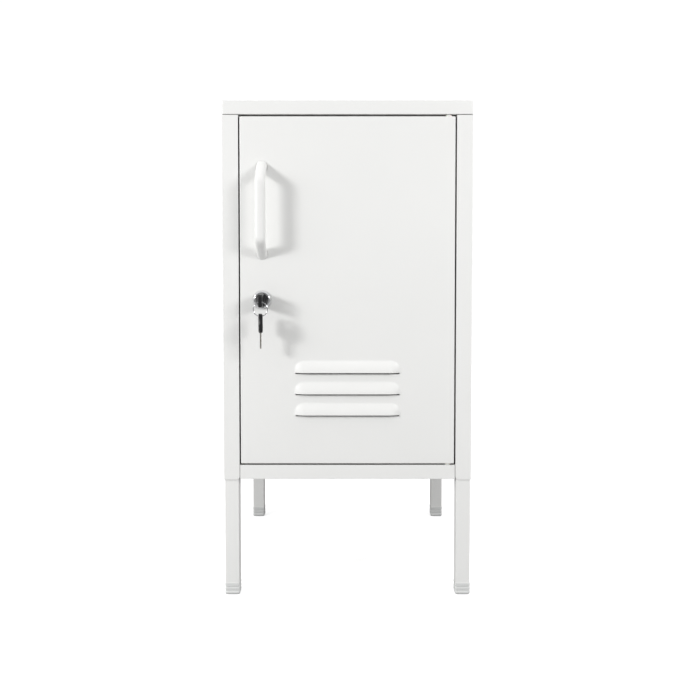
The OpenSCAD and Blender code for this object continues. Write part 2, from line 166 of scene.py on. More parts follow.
def softened(node, fold=FOLD_R, cut=CUT_R, fold_steps=3, seams=()):
    """A CAD node with its folds rounded and every other corner lightly broken.
    seams lists faces that are drawn back to show a fine gap: (axis, level, distance)."""
    bm = welded(node)
    for axis, level, distance in seams:
        for vert in bm.verts:
            if abs(vert.co[axis] - level) < TOUCH:
                vert.co[axis] += distance
    round_edges(bm, [e for e in bm.edges if is_fold(e)], fold, fold_steps)
    round_edges(bm, [e for e in bm.edges if corner(e)], cut)
    low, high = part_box(node)
    for vert in bm.verts:
        vert.co = [min(max(c, a), b) for c, a, b in zip(vert.co, low, high)]
    stand_for(to_piece(node + "_made", bm), node)


def add_turned(bm, profile, place, steps):
    """Adds a solid of revolution. The profile lists (radius, height); place maps +Z to its axis."""
    rings = []
    for radius, height in profile:
        if radius < 1e-9:
            rings.append([bm.verts.new(place @ Vector((0, 0, height)))])
            continue
        turns = [2 * math.pi * i / steps for i in range(steps)]
        rings.append([bm.verts.new(place @ Vector((radius * math.cos(a), radius * math.sin(a), height)))
                      for a in turns])
    if profile[0][0] > 1e-9:
        rings.append(rings[0])
    for low, high in zip(rings, rings[1:]):
        for i in range(steps):
            j = (i + 1) % steps
            loop = [low[i % len(low)], low[j % len(low)], high[j % len(high)], high[i % len(high)]]
            bm.faces.new(list(dict.fromkeys(loop)))
    bmesh.ops.recalc_face_normals(bm, faces=bm.faces)


def add_drill(bm, radius, reach, place, steps):
    """Adds a round cutter that reaches equally far to both sides of its place."""
    profile = [(0, -reach), (radius, -reach), (radius, reach), (0, reach)]
    add_turned(bm, profile, place, steps)


def add_loft(bm, rings):
    """Joins rings of points with quads and caps the ends."""
    made = [[bm.verts.new(p) for p in ring] for ring in rings]
    bm.faces.new(made[0])
    bm.faces.new(list(reversed(made[-1])))
    for low, high in zip(made, made[1:]):
        for i in range(len(low)):
            j = (i + 1) % len(low)
            bm.faces.new([low[i], high[i], high[j], low[j]])
    bmesh.ops.recalc_face_normals(bm, faces=bm.faces)


def islands(node):
    """The separate solids of a CAD node, each as a list of its points."""
    bm = welded(node)
    bm.verts.ensure_lookup_table()
    seen = [False] * len(bm.verts)
    found = []
    for start in bm.verts:
        if seen[start.index]:
            continue
        seen[start.index] = True
        group = [start]
        for vert in group:
            for edge in vert.link_edges:
                other = edge.other_vert(vert)
                if not seen[other.index]:
                    seen[other.index] = True
                    group.append(other)
        found.append([v.co.copy() for v in group])
    bm.free()
    return found


def along_axis(points):
    """A round solid's placement and steps: a matrix that puts +Z on its axis with the
    widest end at 0, and the list of (distance from that end, radius) of its steps."""
    levels = [sorted({round(p[k] / MM, 2) for p in points}) for k in range(3)]
    axis = min(range(3), key=lambda k: len(levels[k]))
    low = Vector([min(p[k] for p in points) for k in range(3)])
    high = Vector([max(p[k] for p in points) for k in range(3)])
    middle = (low + high) / 2
    steps = []
    for level in levels[axis]:
        ring = [p - middle for p in points if abs(p[axis] / MM - level) < 0.02]
        for p in ring:
            p[axis] = 0
        steps.append((level * MM, max(p.length for p in ring)))
    if steps[-1][1] > steps[0][1]:
        steps.reverse()
    start = middle.copy()
    start[axis] = steps[0][0]
    direction = Vector((0, 0, 0))
    direction[axis] = 1 if steps[-1][0] > steps[0][0] else -1
    place = Matrix.Translation(start) @ direction.to_track_quat("Z", "Y").to_matrix().to_4x4()
    return place, [(abs(level - steps[0][0]), radius) for level, radius in steps]


# ------------------------------------------------------------------- materials

class Finish:
    """A procedural material around one Principled shader, placed by object coordinates."""

    def __init__(self, name, **sockets):
        self.material = bpy.data.materials.new(name)
        self.material.use_nodes = True
        self.tree = self.material.node_tree
        self.shader = self.tree.nodes["Principled BSDF"]
        for socket, value in sockets.items():
            self.shader.inputs[socket.replace("_", " ")].default_value = value
        self.where = self.add("ShaderNodeTexCoord").outputs["Object"]

    def add(self, kind, **settings):
        node = self.tree.nodes.new(kind)
        for key, value in settings.items():
            setattr(node, key, value)
        return node

    def link(self, source, target):
        self.tree.links.new(source, target)

    def stretched(self, x, y, z):
        """Coordinates scaled by three factors, for grain that runs one way."""
        mapping = self.add("ShaderNodeMapping")
        mapping.inputs["Scale"].default_value = (x, y, z)
        self.link(self.where, mapping.inputs["Vector"])
        return mapping.outputs["Vector"]

    def noise(self, scale, detail=3, where=None):
        texture = self.add("ShaderNodeTexNoise")
        texture.inputs["Scale"].default_value = scale
        texture.inputs["Detail"].default_value = detail
        self.link(where or self.where, texture.inputs["Vector"])
        return texture.outputs["Fac"]

    def cells(self, scale):
        texture = self.add("ShaderNodeTexVoronoi")
        texture.inputs["Scale"].default_value = scale
        self.link(self.where, texture.inputs["Vector"])
        return texture.outputs["Color"]

    def ramp(self, factor, start, end, low, high):
        """Maps a value between start and end to low and high, smoothly."""
        mapped = self.add("ShaderNodeMapRange", interpolation_type="SMOOTHSTEP")
        self.link(factor, mapped.inputs["Value"])
        for name, value in (("From Min", start), ("From Max", end), ("To Min", low), ("To Max", high)):
            mapped.inputs[name].default_value = value
        return mapped.outputs["Result"]

    def blend(self, factor, first, second):
        """A colour mix. first and second are colours or sockets."""
        mix = self.add("ShaderNodeMix", data_type="RGBA")
        self.link(factor, mix.inputs["Factor"])
        for name, value in ((6, first), (7, second)):
            if isinstance(value, bpy.types.NodeSocket):
                self.link(value, mix.inputs[name])
            else:
                mix.inputs[name].default_value = (*value, 1)
        return mix.outputs[2]

    def total(self, first, second, operation="ADD"):
        maths = self.add("ShaderNodeMath", operation=operation)
        self.link(first, maths.inputs[0])
        if isinstance(second, bpy.types.NodeSocket):
            self.link(second, maths.inputs[1])
        else:
            maths.inputs[1].default_value = second
        return maths.outputs[0]

    def edges(self, radius):
        """1 along worn outer and inner corners, 0 on flat ground."""
        bevel = self.add("ShaderNodeBevel", samples=6)
        bevel.inputs["Radius"].default_value = radius
        dot = self.add("ShaderNodeVectorMath", operation="DOT_PRODUCT")
        self.link(bevel.outputs["Normal"], dot.inputs[0])
        self.link(self.add("ShaderNodeNewGeometry").outputs["Normal"], dot.inputs[1])
        return self.ramp(dot.outputs["Value"], 1.0, 0.86, 0, 1)

    def seams(self, reach):
        """A painted shade mask from ambient occlusion: 1 deep in the seams between pieces, where shade
        falls, 0 in the open.
        """
        shade = self.add("ShaderNodeAmbientOcclusion", samples=6)
        shade.inputs["Distance"].default_value = reach
        return self.ramp(shade.outputs["AO"], 0.96, 0.4, 0, 1)

    def above(self, start, end):
        """0 below the first height on the object, 1 above the second."""
        split = self.add("ShaderNodeSeparateXYZ")
        self.link(self.where, split.inputs[0])
        return self.ramp(split.outputs["Z"], start, end, 0, 1)

    def relief(self, layers):
        """Bumps in the surface: (height socket, depth in metres) from coarse to fine."""
        before = None
        for height, depth in layers:
            bump = self.add("ShaderNodeBump")
            bump.inputs["Strength"].default_value = 1
            bump.inputs["Distance"].default_value = depth
            self.link(height, bump.inputs["Height"])
            if before:
                self.link(before, bump.inputs["Normal"])
            before = bump.outputs["Normal"]
        self.link(before, self.shader.inputs["Normal"])

    def colour(self, socket):
        self.link(socket, self.shader.inputs["Base Color"])

    def roughness(self, socket):
        self.link(socket, self.shader.inputs["Roughness"])


# Painted shade in the seams darkens the case and legs, but not what stands inside the clear feet
SEAM_SHADE_FROM = (17 * MM, 24 * MM)


def powder_coat():
    """Satin white powder coat: orange peel, a fine speckle, dulled edges and painted shade in the seams."""
    finish = Finish("powder_coat", Specular_IOR_Level=0.45, IOR=1.5)
    clouds = finish.noise(9, 2)
    speckle = finish.noise(2600, 2)
    body = finish.blend(clouds, (0.835, 0.836, 0.822), (0.865, 0.865, 0.852))
    dusted = finish.blend(finish.ramp(speckle, 0.62, 0.8, 0, 0.35), body, (0.74, 0.74, 0.725))
    worn = finish.ramp(finish.noise(140, 4), 0.4, 0.7, 0, 0.4)
    edge = finish.total(finish.edges(0.9 * MM), worn, "MULTIPLY")
    chipped = finish.blend(edge, dusted, (0.66, 0.66, 0.645))
    patchy = finish.ramp(clouds, 0.3, 0.7, 0.6, 0.9)
    seam_shade_strength = finish.total(patchy, finish.above(*SEAM_SHADE_FROM), "MULTIPLY")
    seam_shade = finish.total(finish.seams(3 * MM), seam_shade_strength, "MULTIPLY")
    # Painted shade: the seams are darkened in patches towards (0.34, 0.34, 0.325), from just above the feet
    # up
    finish.colour(finish.blend(seam_shade, chipped, (0.34, 0.34, 0.325)))
    gloss = finish.ramp(finish.noise(70, 3), 0.3, 0.7, 0.33, 0.41)
    finish.roughness(finish.total(gloss, finish.total(edge, 0.3, "MULTIPLY")))
    waves, peel = finish.noise(14, 1), finish.noise(520, 2)
    finish.relief([(waves, 0.25 * MM), (peel, 0.035 * MM), (speckle, 0.004 * MM)])
    return finish.material


def chrome():
    """Bright chrome plate with faint wiping marks and cloudy patches."""
    finish = Finish("chrome", Metallic=1.0)
    haze = finish.noise(260, 4)
    edge = finish.edges(0.3 * MM)
    plate = finish.blend(haze, (0.74, 0.75, 0.77), (0.83, 0.835, 0.845))
    finish.colour(finish.blend(finish.total(edge, 0.35, "MULTIPLY"), plate, (0.6, 0.59, 0.57)))
    scratches = finish.noise(900, 3, finish.stretched(1, 1, 0.08))
    finish.roughness(finish.ramp(haze, 0.3, 0.7, 0.06, 0.14))
    finish.relief([(scratches, 0.0015 * MM)])
    return finish.material


def dark_chrome():
    """Dark nickel plate brushed across, for the face of the lock's plug."""
    finish = Finish("dark_chrome", Metallic=1.0)
    grain = finish.noise(1500, 3, finish.stretched(1, 0.3, 0.12))
    streaks = finish.noise(420, 2, finish.stretched(1, 0.3, 0.25))
    edge = finish.edges(0.25 * MM)
    plate = finish.blend(finish.ramp(streaks, 0.35, 0.65, 0, 1), (0.07, 0.07, 0.073), (0.33, 0.33, 0.335))
    finish.colour(finish.blend(finish.total(edge, 0.5, "MULTIPLY"), plate, (0.35, 0.35, 0.36)))
    finish.roughness(finish.ramp(grain, 0.3, 0.7, 0.2, 0.36))
    finish.relief([(grain, 0.004 * MM)])
    return finish.material


def zinc():
    """Zinc plate: a soft spangle, a faint bluish cast and dull rubbed patches."""
    finish = Finish("zinc", Metallic=1.0)
    spangle = finish.cells(900)
    dull = finish.ramp(finish.noise(180, 4), 0.4, 0.7, 0, 1)
    plate = finish.blend(spangle, (0.56, 0.575, 0.6), (0.66, 0.67, 0.69))
    aged = finish.blend(dull, plate, (0.5, 0.5, 0.49))
    edge = finish.edges(0.3 * MM)
    finish.colour(finish.blend(finish.total(edge, 0.6, "MULTIPLY"), aged, (0.78, 0.78, 0.79)))
    finish.roughness(finish.total(finish.ramp(finish.noise(600, 3), 0.3, 0.7, 0.24, 0.36),
                                  finish.total(dull, 0.12, "MULTIPLY")))
    finish.relief([(finish.noise(1400, 3), 0.006 * MM)])
    return finish.material


def nickel():
    """Nickel plated brass with milling marks across the blade."""
    finish = Finish("nickel", Metallic=1.0)
    marks = finish.noise(700, 2)
    lines = finish.noise(2600, 1, finish.stretched(0.05, 1, 0.3))
    edge = finish.edges(0.2 * MM)
    plate = finish.blend(marks, (0.52, 0.5, 0.46), (0.63, 0.61, 0.565))
    finish.colour(finish.blend(finish.total(edge, 0.6, "MULTIPLY"), plate, (0.66, 0.58, 0.42)))
    finish.roughness(finish.ramp(marks, 0.3, 0.7, 0.2, 0.34))
    finish.relief([(lines, 0.006 * MM)])
    return finish.material


def black_plastic():
    """Moulded black plastic: fine spark grain, rubbed paler and glossier on its edges."""
    finish = Finish("black_plastic", Specular_IOR_Level=0.5)
    grain = finish.noise(3200, 2)
    worn = finish.ramp(finish.noise(500, 3), 0.35, 0.65, 0.4, 1)
    edge = finish.total(finish.edges(1.8 * MM), worn, "MULTIPLY")
    body = finish.blend(finish.noise(300, 2), (0.005, 0.005, 0.0055), (0.011, 0.011, 0.012))
    finish.colour(finish.blend(edge, body, (0.06, 0.06, 0.061)))
    finish.roughness(finish.ramp(edge, 0, 1, 0.32, 0.24))
    finish.relief([(grain, 0.012 * MM)])
    return finish.material


def rubber():
    """Dull dark rubber with a powdery bloom."""
    finish = Finish("rubber", Specular_IOR_Level=0.3)
    bloom = finish.ramp(finish.noise(900, 4), 0.4, 0.7, 0, 0.6)
    finish.colour(finish.blend(bloom, (0.02, 0.02, 0.02), (0.075, 0.074, 0.072)))
    finish.roughness(finish.ramp(bloom, 0, 0.6, 0.62, 0.85))
    finish.relief([(finish.noise(2600, 3), 0.012 * MM)])
    return finish.material


def nylon():
    """Natural moulded nylon, waxy and slightly uneven in tone."""
    finish = Finish("nylon", Subsurface_Weight=0.15, Subsurface_Scale=0.6 * MM)
    tone = finish.noise(400, 3)
    finish.colour(finish.blend(tone, (0.78, 0.77, 0.71), (0.85, 0.845, 0.8)))
    finish.roughness(finish.ramp(tone, 0.3, 0.7, 0.38, 0.52))
    finish.relief([(finish.noise(1800, 2), 0.008 * MM)])
    return finish.material


def clear_plastic():
    """Soft clear plastic: see-through face on, milky where it is seen along its walls."""
    finish = Finish("clear_plastic", IOR=1.49)
    scuffs = finish.noise(800, 4)
    facing = finish.add("ShaderNodeLayerWeight")
    facing.inputs["Blend"].default_value = 0.35
    finish.link(finish.ramp(facing.outputs["Facing"], 0.05, 0.8, 0.8, 0.97), finish.shader.inputs["Alpha"])
    finish.colour(finish.blend(scuffs, (0.84, 0.85, 0.845), (0.93, 0.94, 0.93)))
    finish.roughness(finish.ramp(scuffs, 0.35, 0.7, 0.12, 0.3))
    finish.relief([(scuffs, 0.012 * MM)])
    return finish.material


FINISHES = {
    "paint": powder_coat(),
    "zinc": zinc(),
    "chrome": chrome(),
    "dark_chrome": dark_chrome(),
    "nickel": nickel(),
    "black_plastic": black_plastic(),
    "rubber": rubber(),
    "clear_plastic": clear_plastic(),
    "nylon": nylon(),
}


# ------------------------------------------------------------ case and fittings

def make_case():
    """Every folded panel and tube of the case, with its fold and tube radii."""
    softened("top_panel", seams=[(2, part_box("top_panel")[0].z, SEAM)])
    softened("bottom_panel", seams=[(0, -RAIL_HALF, SEAM), (0, RAIL_HALF, -SEAM)])
    for node in ("left_side_panel", "right_side_panel", "back_panel",
                 "shelf", "left_shelf_support", "right_shelf_support", "door_stiffener"):
        softened(node)
    for node in ("front_left_leg", "front_right_leg", "back_left_leg", "back_right_leg"):
        softened(node, fold=TUBE_R, fold_steps=4)


def make_small_parts():
    """Stamped, turned and moulded parts that only need broken corners."""
    for node in ("top_hinge_plate", "bottom_hinge_plate", "lock_cam", "lock_nut",
                 "top_hinge_bush", "bottom_hinge_bush", "top_hinge_pin", "bottom_hinge_pin"):
        softened(node, fold=0.6 * MM, cut=0.3 * MM)
    for node in ("leg_nuts", "case_nuts"):
        softened(node, fold=0.5 * MM, cut=0.3 * MM)
    softened("door_bumpers", fold=0.4 * MM, cut=0.4 * MM)


def rounded_square(half, radius, height, middle, steps=6):
    """Points around a square with round corners, level at the given height."""
    points = []
    for quarter in range(4):
        base = quarter * math.pi / 2
        centre = Vector((half - radius, half - radius, 0))
        for i in range(steps + 1):
            a = math.pi / 2 * i / steps
            p = centre + Vector((radius * math.cos(a), radius * math.sin(a), 0))
            spun = Matrix.Rotation(base, 3, "Z") @ p
            points.append(Vector((middle.x + spun.x, middle.y + spun.y, height)))
    return points


FOOT_SOLE = 6 * MM
FOOT_WALL = 0.7 * MM
FOOT_RIB = 0.45 * MM


def make_foot(node):
    """A clear cap with a chamfered sole, two moulded grooves and an open top for the tube."""
    low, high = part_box(node)
    middle = (low + high) / 2
    half = (high.x - low.x) / 2
    top = high.z
    outside = [(2.2 * MM, 0), (1.0 * MM, 0.7 * MM), (0.3 * MM, 1.9 * MM), (0, 2.8 * MM), (0, 4.5 * MM)]
    for groove in (4.8 * MM, 10.2 * MM):
        outside += [(0.1 * MM, groove), (FOOT_RIB, groove + 0.4 * MM), (FOOT_RIB, groove + 2.0 * MM),
                    (0.1 * MM, groove + 2.4 * MM), (0, groove + 2.7 * MM)]
    outside += [(0, top - 0.4 * MM), (0.25 * MM, top)]
    inside = [(FOOT_WALL, top), (FOOT_WALL, FOOT_SOLE + 0.3 * MM), (FOOT_WALL + 0.4 * MM, FOOT_SOLE)]
    bm = bmesh.new()
    add_loft(bm, [rounded_square(half - inset, TUBE_R + FOOT_WALL - min(inset, FOOT_WALL), height, middle)
                  for inset, height in outside + inside])
    stand_for(to_piece(node + "_made", bm), node)


# ------------------------------------------------------------------- fasteners

def thread(start, end, radius, pitch):
    """The profile of a threaded stretch: a vee for each turn."""
    deep = 0.3 * pitch
    turns = max(1, int((end - start) / pitch))
    step = (end - start) / turns
    profile = []
    for i in range(turns):
        at = start + i * step
        profile += [(radius - deep, at), (radius, at + 0.45 * step), (radius, at + 0.6 * step)]
    return profile + [(radius - deep, end)]


def pan_head(radius, height):
    """The profile of a pan head's outside, from the middle of its face to its bearing face."""
    crown = 0.22 * height
    return [(0, 0), (0.45 * radius, 0.05 * height), (0.72 * radius, crown), (0.9 * radius, 0.45 * height),
            (0.98 * radius, 0.72 * height), (radius, 0.88 * height), (0.98 * radius, height)]


def cross_outline(arm, height, place):
    """The twelve corners of a cross with the given arm length."""
    half = 0.24 * arm
    corners = []
    for quarter in range(4):
        spin = Matrix.Rotation(quarter * math.pi / 2, 4, "Z")
        for x, y in ((arm, -half), (arm, half), (half, half)):
            corners.append(place @ spin @ Vector((x, y, height)))
    return corners


def make_screws(node, pitch):
    """Cross-recessed pan head screws in the place of each of a node's solids."""
    bm = bmesh.new()
    cutters = bmesh.new()
    for points in islands(node):
        place, steps = along_axis(points)
        head_r, shank_r = steps[0][1], steps[-1][1]
        head_h, length = steps[1][0], steps[-1][0]
        profile = pan_head(head_r, head_h) + thread(head_h + 0.05 * MM, length - 0.4 * MM, shank_r, pitch)
        profile += [(0.6 * shank_r, length), (0, length)]
        add_turned(bm, profile, place, 32)
        turn = place @ Matrix.Rotation(math.radians(45), 4, "Z")
        rings = [cross_outline(size * head_r, level * head_h, turn)
                 for size, level in ((0.75, -0.5), (0.56, 0), (0.42, 0.7))]
        add_loft(cutters, rings)
    piece = to_piece(node + "_made", bm)
    cut_out(piece, cutters)
    stand_for(piece, node)


# ------------------------------------------------------------------------ door

def smooth_min(a, b, k):
    """The smaller of two values with a round changeover of width k."""
    h = max(k - abs(a - b), 0) / k
    return min(a, b) - h * h * k / 4


def hood_height(x, z):
    """How far a louvre stands out, at x from its middle and z above its open edge."""
    up = max(0, z) / LOUVRE_H
    half = LOUVRE_TOP_HALF + (LOUVRE_HALF - LOUVRE_TOP_HALF) * math.sqrt(max(0, 1 - up * up))
    rise = smooth_min(1 - up ** LOUVRE_BULGE, (half - abs(x)) / LOUVRE_END, 5 * LOUVRE_BLEND)
    return max(0, -LOUVRE_OUT * smooth_min(-rise, 0, LOUVRE_BLEND))


def spaced(low, high, step):
    count = max(1, math.ceil((high - low) / step))
    return [low + (high - low) * i / count for i in range(count + 1)]


def door_lines(low, high, lip):
    """The grid lines of the door's face: coarse, and fine across the louvres."""
    ends = spaced(LOUVRE_TOP_HALF - 12 * MM, LOUVRE_HALF + 1.5 * MM, 0.9 * MM)
    columns = [low.x, low.x + lip, *[-x for x in ends], *spaced(-40 * MM, 40 * MM, 10 * MM), *ends,
               high.x - lip, high.x]
    rows = [low.z, low.z + lip, *spaced(340 * MM, high.z - lip, 40 * MM), high.z]
    for bottom in LOUVRE_BOTTOMS:
        rows += [bottom - 6 * MM, bottom - LOUVRE_SLOT, *spaced(bottom, bottom + LOUVRE_H + 2 * MM, 1 * MM)]
    return sorted(columns), sorted(rows)


def door_skin(low, high, depth, lip):
    """The door's outer skin: the louvred face, four folded sides and their lips."""
    bm = bmesh.new()
    columns, rows = door_lines(low, high, lip + 1 * MM)
    grid = {}
    for i, x in enumerate(columns):
        for k, z in enumerate(rows):
            out = sum(hood_height(x, z - bottom) for bottom in LOUVRE_BOTTOMS
                      if -TOUCH <= z - bottom <= LOUVRE_H + 3 * MM)
            grid[i, k] = bm.verts.new((x, FRONT - out, z))
    for i in range(len(columns) - 1):
        for k in range(len(rows) - 1):
            wide = max(abs(columns[i]), abs(columns[i + 1])) < LOUVRE_HALF - 1.5 * MM
            slot = any(abs(rows[k + 1] - bottom) < TOUCH for bottom in LOUVRE_BOTTOMS)
            if not (wide and slot):
                bm.faces.new([grid[i, k], grid[i + 1, k], grid[i + 1, k + 1], grid[i, k + 1]])

    def on_rim(vert):
        gaps = (vert.co.x - low.x, high.x - vert.co.x, vert.co.z - low.z, high.z - vert.co.z)
        return min(gaps) < TOUCH

    rim = [e for e in bm.edges if e.is_boundary and all(on_rim(v) for v in e.verts)]
    for shift, inward in ((depth, 0), (0, lip)):
        made = bmesh.ops.extrude_edge_only(bm, edges=rim)["geom"]
        for vert in (g for g in made if isinstance(g, bmesh.types.BMVert)):
            vert.co.y += shift
            vert.co.x = min(max(vert.co.x, low.x + inward), high.x - inward)
            vert.co.z = min(max(vert.co.z, low.z + inward), high.z - inward)
        rim = [g for g in made if isinstance(g, bmesh.types.BMEdge) and g.is_boundary]
    bmesh.ops.recalc_face_normals(bm, faces=bm.faces)
    bm.faces.ensure_lookup_table()
    if bm.faces[0].normal.y > 0:
        bmesh.ops.reverse_faces(bm, faces=bm.faces)
    bm.normal_update()
    folds = [e for e in bm.edges if corner(e, 60) and e.calc_length() > 0
             and all(on_rim(v) for v in e.verts)]
    round_edges(bm, folds, FOLD_R + 0.2 * MM, 3)
    return bm


def make_door():
    """The louvred door panel, as one folded and pressed sheet."""
    low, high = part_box("door_panel")
    depth = high.y - FRONT
    piece = to_piece("door_panel_made", door_skin(low, high, depth, DOOR_LIP))
    shell = piece.modifiers.new("sheet", "SOLIDIFY")
    shell.thickness = SHEET
    shell.offset = -1
    shell.use_even_offset = True
    settle(piece)
    holes = bmesh.new()
    through = Matrix.Rotation(math.radians(-90), 4, "X")
    lock = box_middle("lock_body")
    add_drill(holes, 9.5 * MM, 5 * MM, Matrix.Translation((lock.x, FRONT, lock.z)) @ through, 48)
    for points in islands("handle_screws"):
        middle = sum(points, Vector()) / len(points)
        add_drill(holes, 2.2 * MM, 5 * MM, Matrix.Translation((middle.x, FRONT, middle.z)) @ through, 24)
    for node in ("top_hinge_bush", "bottom_hinge_bush"):
        add_drill(holes, 3.55 * MM, 9 * MM, Matrix.Translation(box_middle(node)), 32)
    cut_out(piece, holes)
    edge = piece.modifiers.new("edges", "BEVEL")
    edge.width = CUT_R
    edge.segments = 2
    edge.limit_method = "ANGLE"
    edge.angle_limit = math.radians(50)
    settle(piece)
    stand_for(piece, "door_panel")


def box_middle(node):
    low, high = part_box(node)
    return (low + high) / 2


# ---------------------------------------------------------------------- handle

# Height of each arm at the door, the grip's depth and half length, how much shorter its inner
# line is, the reach of the bends, and how square the section is
HANDLE_FOOT = 14 * MM
GRIP_T = 8.5 * MM
GRIP_HALF = 44.5 * MM
GRIP_INNER = 4 * MM
OUTER_BEND = 7 * MM
INNER_BEND = 5 * MM
HANDLE_POWER = 2.4


def eased_path(points, reach, arc_steps, run_steps):
    """A polyline through the points with its inner corners rounded off within reach."""
    path = []
    for k in range(1, len(points) - 1):
        before, here, after = (Vector(points[i]) for i in (k - 1, k, k + 1))
        start = here + (before - here).normalized() * reach
        end = here + (after - here).normalized() * reach
        run_from = path[-1] if path else before
        path += [run_from.lerp(start, i / run_steps) for i in range(0 if not path else 1, run_steps)]
        for i in range(arc_steps + 1):
            t = i / arc_steps
            path.append(start.lerp(here, t).lerp(here.lerp(end, t), t))
    last = Vector(points[-1])
    run_from = path[-1]
    path += [run_from.lerp(last, i / run_steps) for i in range(1, run_steps + 1)]
    return path


def power_round(angle, power):
    """A point on a rounded square: an ellipse whose sides are flattened by power."""
    c, s = math.cos(angle), math.sin(angle)
    return (math.copysign(abs(c) ** (2 / power), c), math.copysign(abs(s) ** (2 / power), s))


def make_handle():
    """The bow handle, lofted through rounded sections between its outer and inner lines."""
    low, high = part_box("handle")
    middle = (low + high) / 2
    half_w = (high.x - low.x) / 2
    end = (high.z - low.z) / 2
    out = high.y - low.y
    outer = [(0, end), (-out, GRIP_HALF), (-out, -GRIP_HALF), (0, -end)]
    inner_z = GRIP_HALF - GRIP_INNER
    inner = [(0, end - HANDLE_FOOT), (GRIP_T - out, inner_z),
             (GRIP_T - out, -inner_z), (0, HANDLE_FOOT - end)]
    outer_path = eased_path([(y, z, 0) for y, z in outer], OUTER_BEND, 10, 8)
    inner_path = eased_path([(y, z, 0) for y, z in inner], INNER_BEND, 10, 8)
    rings = []
    for a, b in zip(outer_path, inner_path):
        centre, reach = (a + b) / 2, (a - b) / 2
        ring = []
        for i in range(40):
            u, v = power_round(2 * math.pi * i / 40, HANDLE_POWER)
            p = centre + reach * u
            ring.append(Vector((middle.x + half_w * v, high.y + p.x, middle.z + p.y)))
        rings.append(ring)
    bm = bmesh.new()
    add_loft(bm, rings)
    stand_for(to_piece("handle_made", bm), "handle")


# --------------------------------------------------------------- lock and keys

def arc(centre, radii, start, end, steps):
    """Profile points on an ellipse about centre, from one angle to another in degrees."""
    turns = [math.radians(start + (end - start) * i / steps) for i in range(steps + 1)]
    return [(centre[0] + radii[0] * math.cos(a), centre[1] + radii[1] * math.sin(a)) for a in turns]


def make_lock():
    """The lock's bezel and threaded barrel, turned and bored."""
    low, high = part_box("lock_body")
    rim, face, back = (high.x - low.x) / 2, FRONT - low.y, high.y - FRONT
    bore, plug, barrel = 8.8 * MM, 6.9 * MM, 9.4 * MM
    profile = [(bore, 0.4 * MM), (bore, 0.3 * MM - face), (bore + 0.3 * MM, -face)]
    profile += [(9.6 * MM, -face)]
    profile += arc((10.0 * MM, -1.3 * MM), (rim - 10.0 * MM, face - 1.3 * MM), -90, 0, 10)
    profile += [(rim, -0.15 * MM), (rim - 0.2 * MM, 0), (barrel, 0)]
    profile += thread(1.0 * MM, back - 0.6 * MM, barrel, 1.2 * MM)
    profile += [(barrel - 0.7 * MM, back), (plug, back), (plug, 0.4 * MM)]
    bm = bmesh.new()
    middle = box_middle("lock_body")
    place = Matrix.Translation((middle.x, FRONT, middle.z)) @ Matrix.Rotation(math.radians(-90), 4, "X")
    add_turned(bm, profile, place, 96)
    stand_for(to_piece("lock_body_made", bm), "lock_body")
    softened("lock_plug", fold=0.35 * MM, cut=0.2 * MM)


# A key head's broad sides are larger than this, and their outlines get this radius
KEY_SIDE = 200 * MM * MM
KEY_R = 2.1 * MM


def make_key(head, blade):
    """A key's moulded head with generous edges, and its notched blade. The broad sides, which
    have a hole, are split into triangles so that no face reaches across it."""
    bm = welded(head)
    outline = [e for e in bm.edges
               if corner(e) and max(f.calc_area() for f in e.link_faces) > KEY_SIDE]
    round_edges(bm, outline, KEY_R, 5)
    bmesh.ops.triangulate(bm, faces=[f for f in bm.faces if len(f.verts) > 4])
    stand_for(to_piece(head + "_made", bm), head)
    softened(blade, fold=0.2 * MM, cut=0.15 * MM)


# The ring's winding, the width and thickness of its wire, how far it stays inside its place,
# the spacing of its two layers, and how square the wire is
RING_TURNS = 1.8
RING_BAND = 1.2 * MM
RING_T = 0.6 * MM
RING_SLACK = 0.06 * MM
RING_LAYER = 0.52 * RING_T
RING_POWER = 2.6


def make_ring():
    """A split ring: a wire wound in two layers, with the step from one to the other."""
    low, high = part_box("key_ring")
    middle = (low + high) / 2
    mid_r = (high.x - low.x - RING_BAND) / 2 - RING_SLACK
    steps = 150
    start = math.radians(200)
    rings = []
    for i in range(steps + 1):
        turn = RING_TURNS * i / steps
        step = min(max((turn - 0.83) / 0.14, 0), 1)
        offset = RING_LAYER * (2 * step * step * (3 - 2 * step) - 1)
        angle = start + 2 * math.pi * turn
        outward = Vector((math.cos(angle), 0, math.sin(angle)))
        ring = []
        for k in range(16):
            u, v = power_round(2 * math.pi * k / 16, RING_POWER)
            radial = mid_r + u * RING_BAND / 2
            ring.append(middle + outward * radial + Vector((0, offset + v * RING_T / 2, 0)))
        rings.append(ring)
    bm = bmesh.new()
    add_loft(bm, rings)
    stand_for(to_piece("key_ring_made", bm), "key_ring")


# ------------------------------------------------------------- studio and view

# The point on the door that the lights face
LIT_POINT = Vector((0, FRONT, 0.45))

# The floor's half width, the light it gives off and the grey it has for all but the camera
FLOOR_HALF = 30
FLOOR_LIFT = 0.55
FLOOR_BOUNCE = 0.38

# The backdrop's brightness, and the room's at the horizon and overhead. ROOM_DARK is the
# share of the room's light that is left right behind the camera.
BACKDROP = 1.02
ROOM_LIGHT = (0.5, 0.81)
ROOM_DARK = 0.4

# Metres in front of the door and above the floor, degrees down, millimetres, frame widths
CAMERA_BACK = 1.25
CAMERA_HEIGHT = 0.49
CAMERA_TILT = 2.4
CAMERA_LENS = 46.1
CAMERA_SHIFT = -0.085


def add_light(name, place, size, power):
    """A square soft box, aimed at the middle of the door. The power is in watts."""
    data = bpy.data.lights.new(name, "AREA")
    data.shape = "SQUARE"
    data.size = size
    data.energy = power
    light = bpy.data.objects.new(name, data)
    light.location = place
    light.rotation_euler = (LIT_POINT - light.location).to_track_quat("-Z", "Y").to_euler()
    bpy.context.scene.collection.objects.link(light)


